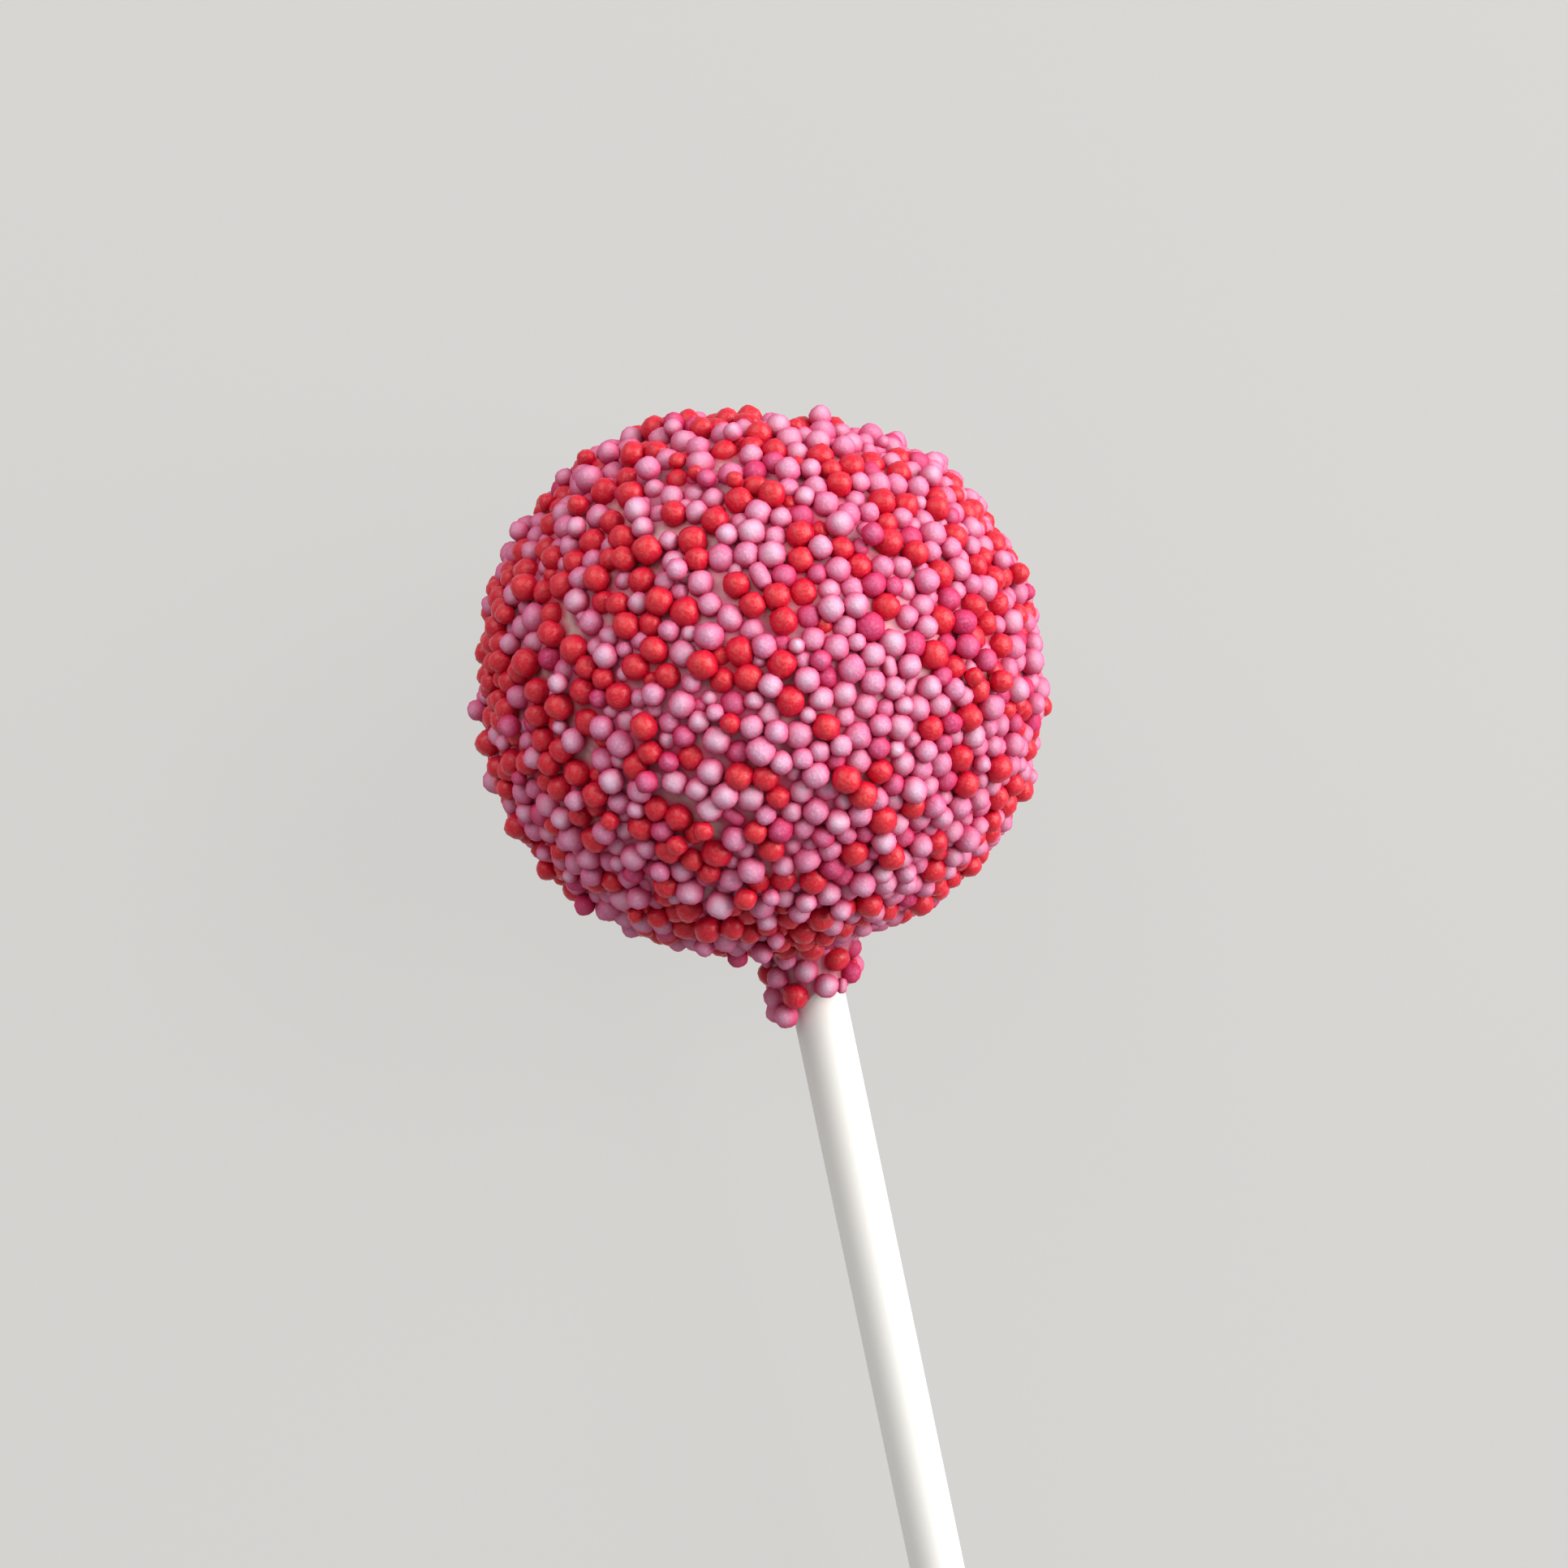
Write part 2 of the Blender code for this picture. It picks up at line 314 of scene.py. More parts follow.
def sugar_spots():
    """(middle, radius, kind) of the largest sugar balls on the cake."""
    draw = random.Random(SUGAR_SEED)
    spots = []
    for number in range(SUGAR_COUNT):
        height = 1 - 2 * (number + 0.5) / SUGAR_COUNT
        towards = ALONG * height
        towards = towards + round_stick(number * GOLDEN_ANGLE) * math.sqrt(1 - height * height)
        shift = np.array([draw.uniform(-1, 1) for _ in range(3)]) * SUGAR_JITTER
        towards = unit(towards * BALL_RADIUS + shift)
        radius = draw.uniform(SUGAR_SMALL, SUGAR_LARGE)
        kind = draw.choices(list(KINDS), [share for share, _ in KINDS.values()])[0]
        radius *= KINDS[kind][1]
        middle = on_coat(towards[None], np.array([SUGAR_LIFT * radius]))[0]
        near_collar = beside_stick(middle)[0] < COLLAR_ROOT_RADIUS + radius
        if not (near_collar and towards @ ALONG > 0):
            spots.append((middle, radius, kind))
    return spots


def collar_spots():
    """(middle, radius, kind) of the large sugar balls on the collar."""
    spots = []
    for distance, first, kinds in COLLAR_RINGS:
        for place, kind in enumerate(kinds):
            turn = math.radians(first) + 2 * math.pi * place / RING_PLACES
            slide = COLLAR_SLANT * RING_RADIUS * math.cos(turn)
            middle = ALONG * (distance - slide) + round_stick(turn) * RING_RADIUS
            spots.append((middle, RING_SUGAR * KINDS[kind][1], kind))
    return spots


large_on_cake = sugar_spots()
large_on_collar = collar_spots()
print(len(large_on_cake), "large ones on the cake and", len(large_on_collar), "on the collar")

# %% [markdown]
# Smaller sugar balls fill the coat between them. Their kinds and sizes are drawn first: reds are
# larger than pinks, and one pink in ten is a small one. Each is sunk into the coat by its own
# amount, because candy sets before they all lie equally deep.

# %% Kinds and sizes of the smaller sugar balls
FREE_COUNT = 1620
FREE_KINDS = {"red": (0.305, 0.87 * MM), "light": (0.595, 0.79 * MM), "deep": (0.10, 0.78 * MM)}
FREE_SPREAD = 0.08 * MM
FREE_HIGH = 0.96 * MM
SMALL_SHARE = 0.10
SMALL_RADIUS = (0.52 * MM, 0.66 * MM)
LIFT_LOW = -0.20  # shares of a ball's radius
LIFT_HIGH = 0.95
PACK_SEED = 21

pack_draw = np.random.default_rng(PACK_SEED)


def draw_kind():
    return str(pack_draw.choice(list(FREE_KINDS), p=[share for share, _ in FREE_KINDS.values()]))


def draw_radius(kind):
    """The radius of a smaller sugar ball of this kind."""
    if kind != "red" and pack_draw.random() < SMALL_SHARE:
        return pack_draw.uniform(*SMALL_RADIUS)
    return min(pack_draw.normal(FREE_KINDS[kind][1], FREE_SPREAD), FREE_HIGH)


free_sizes = [(draw_radius(kind), kind) for kind in [draw_kind() for _ in range(FREE_COUNT)]]
free_sizes.sort(reverse=True)
free_radii = np.array([radius for radius, _ in free_sizes])
free_kinds = [kind for _, kind in free_sizes]
free_lift = pack_draw.uniform(LIFT_LOW, LIFT_HIGH, FREE_COUNT) * free_radii
print("largest and smallest radius in mm:", *np.round(free_radii[[0, -1]] / MM, 2))

# %% [markdown]
# Thrown at random, these balls would leave holes, and a regular net would look made. So each one
# starts at the roomiest of a few random places, and a little rather beside one of its own kind, as
# the photo shows clusters of a few of one colour. The colours also drifted apart when the ball was
# rolled: reds gathered on its left side, at its top, at its right edge and beside the collar, and
# pinks right of the middle and below it.

# %% Where the smaller sugar balls start
START_PLACES = 12
OWN_KIND = 0.14 * MM  # what a neighbour of the same kind counts for, as if it were more room
COLLAR_CLEAR = 0.2 * MM

# Direction in plan, height above the horizon, spread (degrees), and how strongly reds gathered
DRIFTS = {
    "left side": (178, 25, 38, 1.25),
    "top": (92, 32, 24, 1.0),
    "right of the middle": (-18, 65, 25, -1.1),
    "lower right": (-62, 40, 18, -0.6),
    "beside the collar": (263, 26, 22, 1.1),
    "right edge": (-12, 15, 20, 0.6),
}
DRIFT = 0.17 * MM  # what a full drift counts for, as if it were more room

fixed_places = np.array([spot[0] for spot in large_on_cake + large_on_collar])
fixed_radii = np.array([spot[1] for spot in large_on_cake + large_on_collar])
fixed_kinds = [spot[2] for spot in large_on_cake + large_on_collar]


def keep_off_collar(towards):
    """Turns directions that point at the collar away from it."""
    along = towards @ ALONG
    aside = towards - np.outer(along, ALONG)
    reach_aside = np.linalg.norm(aside, axis=1)
    least = (COLLAR_ROOT_RADIUS + COLLAR_CLEAR) / BALL_RADIUS
    close = (along > 0) & (reach_aside < least)
    if close.any():
        aside[close] *= (least / reach_aside[close])[:, None]
        towards[close] = unit(aside[close] + ALONG * math.sqrt(1 - least * least))
    return towards


def red_drift(towards):
    """How strongly reds gathered in these directions, below zero where pinks did."""
    drift = np.zeros(len(towards))
    for plan, height, spread, strength in DRIFTS.values():
        angle = np.degrees(np.arccos(np.clip(towards @ direction(plan, height), -1, 1)))
        drift += strength * np.exp(-((angle / spread) ** 2))
    return drift


def spread_out(lift, radii, kinds):
    """Directions for the free balls, largest first, each the roomiest of a few random ones."""
    places = np.concatenate([fixed_places, np.zeros((len(radii), 3))])
    all_radii = np.concatenate([fixed_radii, radii])
    all_kinds = np.array(fixed_kinds + kinds)
    chosen = []
    for number in range(len(radii)):
        placed = len(fixed_places) + number
        tried = keep_off_collar(unit(pack_draw.normal(size=(START_PLACES, 3))))
        there = on_coat(tried, np.full(START_PLACES, lift[number]))
        gaps = np.linalg.norm(there[:, None] - places[None, :placed], axis=2) - all_radii[:placed]
        own_kind = all_kinds[gaps.argmin(axis=1)] == kinds[number]
        drift = red_drift(tried) * (DRIFT if kinds[number] == "red" else -DRIFT)
        best = (gaps.min(axis=1) + OWN_KIND * own_kind + drift).argmax()
        places[placed] = there[best]
        chosen.append(tried[best])
    return np.array(chosen)


free_towards = spread_out(free_lift, free_radii, free_kinds)
print(len(free_towards), "places to start from")

# %% [markdown]
# Then the balls push each other apart, step by step, until hardly any two overlap, while the large
# ones stay put. A search tree finds the close pairs, because a comparison of each ball with every
# other would be slow.

# %% The sugar balls push each other apart
SETTLE_STEPS = 150
NEIGHBOURS_EVERY = 10  # steps between two searches for neighbours
NEIGHBOUR_MARGIN = 0.7 * MM
TOUCH = 0.90  # two balls may lie this share of their radii apart before they push


def tree_of(places):
    """A search tree over these places."""
    tree = KDTree(len(places))
    for number, place in enumerate(places):
        tree.insert(place, number)
    tree.balance()
    return tree


def near_pairs(places, reach_out):
    """All pairs of points closer than a distance, as two arrays of numbers."""
    tree = tree_of(places)
    pairs = []
    for number, place in enumerate(places):
        for _, other, _ in tree.find_range(place, reach_out):
            if other > number:
                pairs.append((number, other))
    return np.array(pairs).T


def settle(towards, lift, radii):
    """Pushes the free balls apart along the coat, and returns their directions."""
    count = len(towards)
    all_radii = np.concatenate([radii, fixed_radii])
    for step in range(SETTLE_STEPS):
        towards = keep_off_collar(towards)
        places = np.concatenate([on_coat(towards, lift), fixed_places])
        if step % NEIGHBOURS_EVERY == 0:
            first, second = near_pairs(places, 2 * FREE_HIGH + NEIGHBOUR_MARGIN)
            keep = first < count
            first, second = first[keep], second[keep]
        apart = places[first] - places[second]
        distance = np.linalg.norm(apart, axis=1)
        overlap = np.maximum(TOUCH * (all_radii[first] + all_radii[second]) - distance, 0)
        push = apart / distance[:, None] * overlap[:, None]
        share = np.where(second < count, 0.5, 1.0)[:, None]
        moved = np.zeros_like(places)
        np.add.at(moved, first, push * share)
        np.add.at(moved, second, -push * share)
        towards = unit(places[:count] - SIDEWAYS * BALL_OFFSET + moved[:count])
    return towards, overlap


free_towards, overlap = settle(free_towards, free_lift, free_radii)
free_places = on_coat(free_towards, free_lift)
print(FREE_COUNT, "smaller ones; mean overlap in mm:", round(float(overlap.mean()) / MM, 4))

# %% [markdown]
# A second, thin layer stands proud of the first: balls that rolled into the hollows between their
# neighbours and stuck there. Each one comes in from outside until it touches, so for a random
# direction its height follows from the balls under it. The deepest hollows are filled first.

# %% Sugar balls in the hollows
HOLLOW_TRIES = 9000
HOLLOW_COUNT = 95
HOLLOW_LOW = 0.50 * MM
HOLLOW_HIGH = 0.80 * MM
HOLLOW_SINK = 0.15  # share of its radius that it is pressed in past the first touch
HOLLOW_REACH = 4.5 * MM  # balls further away than this can't be touched
BOX_MARGIN = 0.3 * MM  # how far past the solid's box such a ball may reach


def resting_distance(towards, radius, places, radii):
    """How far from the ball's middle a ball that comes in from outside first touches."""
    along = places @ towards
    square = (radius + radii) ** 2 - (places ** 2).sum(axis=1) + along ** 2
    touched = square > 0
    return (along[touched] + np.sqrt(square[touched])).max() if touched.any() else 0.0


box_low, box_high = (np.array(corner) for corner in cad_bounds)


def inside_box(place, radius):
    """True if a ball stays inside the solid's box, give or take the margin."""
    there = place + MIDDLE
    low_enough = (there + radius < box_high + BOX_MARGIN).all()
    return low_enough and (there - radius > box_low - (BOX_MARGIN, BOX_MARGIN, 0)).all()


def hollow_balls():
    """(place, radius) of each ball of the second layer."""
    first_places = np.concatenate([free_places, fixed_places])
    first_radii = np.concatenate([free_radii, fixed_radii])
    tree = tree_of(first_places)
    found = []
    for towards in unit(pack_draw.normal(size=(HOLLOW_TRIES, 3))):
        radius = pack_draw.uniform(HOLLOW_LOW, HOLLOW_HIGH)
        start = on_coat(towards[None], np.array([radius]))[0]
        near = [hit[1] for hit in tree.find_range(start, HOLLOW_REACH)]
        origin = SIDEWAYS * BALL_OFFSET
        far = resting_distance(towards, radius, first_places[near] - origin, first_radii[near])
        height = far - coat_radius(towards[None])[0]
        found.append((height / radius, radius, origin + towards * (far - HOLLOW_SINK * radius)))
    found.sort(key=lambda entry: entry[0])
    chosen = []
    for _, radius, place in found:
        clear = all(np.linalg.norm(place - other) > radius + wide for other, wide in chosen)
        off_collar = beside_stick(place)[0] > COLLAR_ROOT_RADIUS or place @ ALONG < 0
        if clear and off_collar and inside_box(place, radius):
            chosen.append((place, radius))
        if len(chosen) == HOLLOW_COUNT:
            break
    return chosen


hollow_spots = hollow_balls()
print(len(hollow_spots), "balls of the second layer")

# %% [markdown]
# Where the coat still shows, a ball often lies deeper in it, and only its top comes through. Random
# points of the coat are sorted by how much room they have. The roomiest get a sunk ball that is
# just large enough, and a few are left bare, because the photo shows ivory candy in some chinks.

# %% Sugar balls sunk in the chinks
CHINK_TRIES = 14000
CHINK_ROOM = 0.19 * MM  # the least distance to the nearest ball
CHINK_GROW = 0.33 * MM  # how much larger the sunk ball is than its room
CHINK_HIGH = 0.68 * MM
CHINK_SINK = 0.12
CHINK_BARE = 0.25  # share of the chinks left bare
CHINK_APART = 0.85
NEAREST = 6  # balls compared, because the nearest middle isn't always the nearest surface


def room_at(place, tree, radii):
    """The distance from a place to the nearest ball's surface."""
    nearest = tree.find_n(Vector(place), NEAREST)
    return min(distance - radii[number] for _, number, distance in nearest)


def chink_balls():
    """(place, radius) of each ball that is sunk in a chink."""
    shown = hollow_spots + list(zip(free_places, free_radii)) + list(zip(fixed_places, fixed_radii))
    radii = [radius for _, radius in shown]
    tree = tree_of([place for place, _ in shown])
    found = []
    for towards in unit(pack_draw.normal(size=(CHINK_TRIES, 3))):
        place = on_coat(towards[None], np.zeros(1))[0]
        room = room_at(place, tree, radii)
        if room > CHINK_ROOM and (beside_stick(place)[0] > COLLAR_ROOT_RADIUS or place @ ALONG < 0):
            found.append((room, tuple(place), tuple(towards)))
    found.sort(reverse=True)
    chosen = []
    for room, place, towards in found:
        radius = min(room + CHINK_GROW, CHINK_HIGH)
        place = np.array(place) - np.array(towards) * CHINK_SINK * radius
        if all(np.linalg.norm(place - other) > CHINK_APART * (radius + wide)
               for other, wide in chosen):
            chosen.append((place, radius))
    return [spot for spot in chosen if pack_draw.random() > CHINK_BARE]


chink_spots = chink_balls()
print(len(chink_spots), "balls sunk in chinks")

# %% [markdown]
# The coat thins into a collar where it ran down the stick, further on the left side than on the
# right. Small sugar balls fill the room between the three rings of large ones. They are thrown at
# random there and kept only where they are clear of every other, because the room is so small.

# %% Sugar balls on the collar
COLLAR_START = 17.0 * MM
COLLAR_WAIST = 19.0 * MM
COLLAR_TIP = 21.8 * MM
COLLAR_RADIUS = 2.7 * MM
COLLAR_TRIES = 4000
COLLAR_LOW = 0.45 * MM
COLLAR_HIGH = 0.78 * MM
COLLAR_TOUCH = 0.90
COLLAR_LIFT = 0.3  # share of its radius that a ball's middle is above the coat
PAST_TIP = 0.5 * MM
LONG_SIDE = -0.3  # past the tip, only balls further left than this stay


def collar_radius(distance):
    """The collar's radius this far from the ball's middle: wide at the ball, narrow at the tip."""
    share = min(max((distance - COLLAR_START) / (COLLAR_WAIST + MM - COLLAR_START), 0.0), 1.0)
    return COLLAR_RADIUS + (COLLAR_ROOT_RADIUS - COLLAR_RADIUS) * (1 - share) ** 2


def collar_balls():
    """(place, radius) of each small sugar ball on the collar."""
    others = [*zip(fixed_places, fixed_radii), *zip(free_places, free_radii), *hollow_spots]
    others = [other for other in others if other[0] @ ALONG > COLLAR_START - 2 * MM]
    chosen = []
    for _ in range(COLLAR_TRIES):
        distance = pack_draw.uniform(COLLAR_START, COLLAR_TIP + PAST_TIP)
        turn = pack_draw.uniform(0, 2 * math.pi)
        radius = pack_draw.uniform(COLLAR_LOW, COLLAR_HIGH)
        slide = COLLAR_SLANT * RING_RADIUS * math.cos(turn) if distance > COLLAR_WAIST else 0.0
        stand_off = collar_radius(distance) + COLLAR_LIFT * radius
        place = ALONG * (distance - slide) + round_stick(turn) * stand_off
        if distance > COLLAR_TIP and math.cos(turn) > LONG_SIDE:
            continue
        if all(np.linalg.norm(place - other) > COLLAR_TOUCH * (radius + wide)
               for other, wide in others + chosen):
            chosen.append((place, radius))
    return chosen


collar_fill = collar_balls()
print(len(collar_fill), "small balls on the collar")

# %% [markdown]
# Now all of them go into one list: place, radius, kind, and whether it belongs to the solid. The
# last ones, which only fill chinks, get their kinds by chance alone.

# %% All sugar balls
balls = [(*spot, True) for spot in zip(fixed_places, fixed_radii, fixed_kinds)]
balls += [(*spot, False) for spot in zip(free_places, free_radii, free_kinds)]
balls += [(*spot, draw_kind(), False) for spot in hollow_spots + chink_spots + collar_fill]
counts = {kind: sum(1 for ball in balls if ball[2] == kind) for kind in KINDS}
print(len(balls), "sugar balls:", counts)

# %% [markdown]
# No sugar ball is a perfect sphere. A few shapes are modelled once: a cube is cut up and rounded
# into a ball with evenly spread faces, then its points are shaken a little and smoothed, which
# leaves soft lumps. Two more shapes are the odd ones in every jar: a long grain, pulled out along
# its middle, and twins that dried together, with a waist between them.

# %% Sugar ball shapes
SHAPE_CUTS = 2
ROUND_SHAPES = 9
LUMP = 0.06
LONG_PULL = 0.28  # how far each half is pulled out, in radii
TWIN_PULL = 0.62
TWIN_WAIST = 0.80
WAIST_BAND = 0.05  # half the width of the band that counts as the waist


def sugar_shape(name, seed, pull=0.0, waist=1.0):
    """A lumpy ball of radius 1, as arrays of its points and faces."""
    clear_selection()
    bpy.ops.mesh.primitive_cube_add(size=2)
    shape = bpy.context.active_object
    shape.name = name
    edit(shape)
    bpy.ops.mesh.select_all(action="SELECT")
    bpy.ops.mesh.subdivide(number_cuts=SHAPE_CUTS)
    bpy.ops.transform.tosphere(value=1)
    if pull:
        for side in (1, -1):
            pick(shape, lambda vertex: vertex.co.x * side > WAIST_BAND)
            bpy.ops.transform.translate(value=(side * pull, 0, 0))
        pick(shape, lambda vertex: abs(vertex.co.x) < WAIST_BAND)
        bpy.ops.transform.resize(value=(1, waist, waist), center_override=(0, 0, 0))
    bpy.ops.mesh.select_all(action="SELECT")
    bpy.ops.transform.vertex_random(offset=LUMP, uniform=1.0, normal=0.0, seed=seed)
    bpy.ops.mesh.vertices_smooth(factor=0.5, repeat=2)
    leave_edit()
    points = points_of(shape.data)
    points -= points.mean(axis=0)
    reaches = np.sort(np.linalg.norm(points, axis=1))
    points /= reaches[: len(points) // 2].mean() if pull else reaches.mean()
    faces = np.array([list(face.vertices) for face in shape.data.polygons])
    bpy.data.objects.remove(shape, do_unlink=True)
    return points, faces


shapes = [sugar_shape(f"round_{seed}", seed) for seed in range(ROUND_SHAPES)]
shapes.append(sugar_shape("long_grain", 31, LONG_PULL))
shapes.append(sugar_shape("twins", 32, TWIN_PULL, TWIN_WAIST))
print(len(shapes), "shapes of", len(shapes[0][1]), "faces each")

# %% [markdown]
# Each shape is then copied to its places. All balls of one kind become one mesh, put together from
# arrays, because so many separate objects would be slow to handle. Two numbers go along with
# every point: a tone drawn for the whole ball, and how far the point stands out of the coat,
# counted lower on a deeply sunk ball. The second one sets the painted shade at each ball's base.

# %% Sugar balls as meshes
ODD_SHARE = 0.03  # share of the small balls that are long grains or twins
ODD_SMALLER = 0.82
OVAL = 0.05  # how much a ball's three widths differ, as a share
FLOOR = -MIDDLE[2]  # the table's height below the middle of the ball
SUNK_SHADE = 0.45  # how much less a deeply sunk ball counts as standing out, so it takes more painted shade

shape_draw = np.random.default_rng(11)


def frame_facing(outward):
    """A turn whose third axis faces outward, with the other two drawn."""
    side = unit(np.cross(outward, unit(shape_draw.normal(size=3))))
    return np.column_stack([side, np.cross(outward, side), outward])


def outward_at(place):
    """Away from the cake, or away from the stick on the collar."""
    along = place @ ALONG
    return unit(place - ALONG * along) if along > COLLAR_WAIST else unit(place)


def sunk_share(place, radius):
    """How deep a ball lies in the coat, from 0 for a proud one to 1 for one sunk to its middle."""
    if place @ ALONG > COLLAR_WAIST:
        lift = beside_stick(place)[0] - COLLAR_RADIUS
    else:
        from_middle = place - SIDEWAYS * BALL_OFFSET
        lift = np.linalg.norm(from_middle) - coat_radius(unit(from_middle)[None])[0]
    return min(max((LIFT_HIGH - lift / radius) / (LIFT_HIGH - LIFT_LOW), 0.0), 1.0)


def sugar_mesh(name, kind):
    """One mesh with every ball of a kind."""
    points, faces, tones, sides = [], [], [], []
    start = 0
    for place, radius, this_kind, large in balls:
        if this_kind != kind:
            continue
        outward = outward_at(place)
        turn = frame_facing(outward)
        odd = not large and shape_draw.random() < ODD_SHARE
        choice = ROUND_SHAPES + int(shape_draw.integers(2)) if odd else int(
            shape_draw.integers(ROUND_SHAPES))
        size = radius * (ODD_SMALLER if odd else 1.0)
        widths = size * (1 + shape_draw.uniform(-OVAL, OVAL, 3))
        tumble = np.eye(3) if odd else frame_facing(unit(shape_draw.normal(size=3)))
        shape_points, shape_faces = shapes[choice]
        local = (shape_points @ tumble.T) * widths @ turn.T
        there = place + local
        there[:, 2] = np.maximum(there[:, 2], FLOOR)
        points.append(there + MIDDLE)
        faces.append(shape_faces + start)
        tones.append(np.full(len(there), shape_draw.random()))
        # The side sets the painted shade: most at a ball's base and on a deeply sunk ball
        sides.append(local @ outward / radius - SUNK_SHADE * sunk_share(place, radius))
        start += len(there)
    mesh = bpy.data.meshes.new(name)
    mesh.from_pydata(np.concatenate(points).tolist(), [], np.concatenate(faces).tolist())
    for label, values in (("tone", tones), ("side", sides)):
        layer = mesh.attributes.new(label, "FLOAT", "POINT")
        layer.data.foreach_set("value", np.concatenate(values).astype(np.float32))
    mesh.shade_smooth()
    piece = bpy.data.objects.new(name, mesh)
    bpy.context.scene.collection.objects.link(piece)
    return piece


red_sugar = sugar_mesh("red_sugar_balls", "red")
light_sugar = sugar_mesh("light_pink_sugar_balls", "light")
deep_sugar = sugar_mesh("deep_pink_sugar_balls", "deep")
for piece in (red_sugar, light_sugar, deep_sugar):
    print(piece.name, "has", 2 * len(piece.data.polygons), "triangles")

# %% [markdown]
# The coated cake itself shows only in the chinks between the sugar balls and at the collar. It is
# a ball of rings round the stick's axis. Its cap is cut off at the stick, and the open edge is
# pulled out row by row: in and along for the collar, round its tip, and back inside beside the
# stick, where it closes. Built so, the collar and the cake are one skin with no seam.

# %% The coated cake
COAT_SEGMENTS = 300
COAT_RINGS = 170
COLLAR_ROWS = 10
TIP_ROWS = 5
TIP_THICKNESS = 0.6 * MM
STICK_FIT = 2.03 * MM
THIN = 0.1 * MM

clear_selection()
bpy.ops.mesh.primitive_uv_sphere_add(
    segments=COAT_SEGMENTS, ring_count=COAT_RINGS, radius=BALL_RADIUS, location=(0, 0, 0)
)
cake = bpy.context.active_object
cake.name = "coated_cake"

# Modelled with the stick's axis upright: local x is sideways, y is above and z is along the stick
stick_frame = np.array((SIDEWAYS, ABOVE, ALONG))
edit(cake)
pick(cake, lambda vertex: vertex.co.z > 0 and vertex.co.xy.length < COLLAR_ROOT_RADIUS)
bpy.ops.mesh.delete(type="VERT")
leave_edit()
directions = unit(points_of(cake.data))
surface = directions * coat_radius(directions @ stick_frame)[:, None]
set_points(cake.data, surface + np.array((BALL_OFFSET, 0, 0)))

edit(cake, "EDGE")
bpy.ops.mesh.select_non_manifold()
leave_edit()
edge_points = np.array([vertex.co for vertex in cake.data.vertices if vertex.select])
edge_radius = float(np.linalg.norm(edge_points[:, :2], axis=1).mean())
edge_height = float(edge_points[:, 2].mean())
print("the open edge has", len(edge_points), "points and a radius of", round(edge_radius / MM, 2))


def pull_rows(rows, radius, height, shift):
    """Extrudes the selected edge through rows of (radius, height), both from the axis."""
    for next_radius, next_height in rows:
        step = (-shift / len(rows), 0, next_height - height)
        bpy.ops.mesh.extrude_region_move(TRANSFORM_OT_translate={"value": step})
        grow = next_radius / radius
        bpy.ops.transform.resize(value=(grow, grow, 1), center_override=(0, 0, next_height))
        radius, height = next_radius, next_height
    return radius, height


collar_rows = []
for row in range(1, COLLAR_ROWS + 1):
    height = edge_height + (COLLAR_TIP - TIP_THICKNESS / 2 - edge_height) * row / COLLAR_ROWS
    collar_rows.append((collar_radius(height), height))
tip_rows = []
for row in range(1, TIP_ROWS + 1):
    turn = math.pi * row / TIP_ROWS
    across = (COLLAR_RADIUS + STICK_FIT) / 2 + (COLLAR_RADIUS - STICK_FIT) / 2 * math.cos(turn)
    tip_rows.append((across, COLLAR_TIP - TIP_THICKNESS / 2 * (1 - math.sin(turn))))
inside_rows = [(STICK_FIT, COLLAR_WAIST), (STICK_FIT, -STICK_PAST_MIDDLE - THIN)]

bpy.ops.object.mode_set(mode="EDIT")
radius, height = pull_rows(collar_rows, edge_radius, edge_height, BALL_OFFSET)
radius, height = pull_rows(tip_rows + inside_rows, radius, height, 0.0)
bpy.ops.mesh.extrude_region_move(TRANSFORM_OT_translate={"value": (0, 0, 0)})
bpy.ops.mesh.merge(type="CENTER")
bpy.ops.mesh.select_all(action="SELECT")
bpy.ops.mesh.normals_make_consistent(inside=False)
leave_edit()
print(cake.name, "has", len(cake.data.polygons), "faces")

# %% [markdown]
# The candy was soft when the sugar balls went on. It creeps a little way up each of them. So every
# point of the coat looks for its nearest sugar balls: close to one it rises and takes a dark, rich
# colour from that ball, and only the widest chinks keep some of the candy's ivory. That colour is
# partly the balls' dye bleeding into the candy and partly painted shade in the chinks.

# %% Coat round the sugar balls
CREEP_HEIGHT = 0.12 * MM
CREEP_WIDTH = 0.16 * MM
BLEED_AND_SHADE_WIDTH = 0.50 * MM
BLEED_AND_SHADE_NEAR = 0.10 * MM  # up to here the coat is all stain and painted shade
BLEED_AND_SHADE_FAR = 0.46 * MM  # and from here on it is all ivory
TIP_WAVER = 0.35 * MM
IVORY = np.array((0.48, 0.32, 0.305))
# Colours of dye stain and painted shade, much darker than the ivory
STAIN_AND_SHADE_COLOURS = {
    "red": np.array((0.40, 0.008, 0.035)),
    "light": np.array((0.41, 0.065, 0.15)),
    "deep": np.array((0.40, 0.018, 0.09)),
}

ball_places = np.array([ball[0] for ball in balls])
ball_radii = np.array([ball[1] for ball in balls])
ball_stain_and_shade = np.array([STAIN_AND_SHADE_COLOURS[ball[2]] for ball in balls])

local = points_of(cake.data)
turn = np.arctan2(local[:, 1], local[:, 0])
tip_share = np.clip((local[:, 2] - COLLAR_WAIST) / (COLLAR_TIP - COLLAR_WAIST), 0, 1)
local[:, 2] -= COLLAR_SLANT * local[:, 0] * tip_share
local[:, 2] += TIP_WAVER * tip_share * (0.6 * np.sin(3 * turn + 1) + 0.4 * np.sin(7 * turn))
world = local @ stick_frame

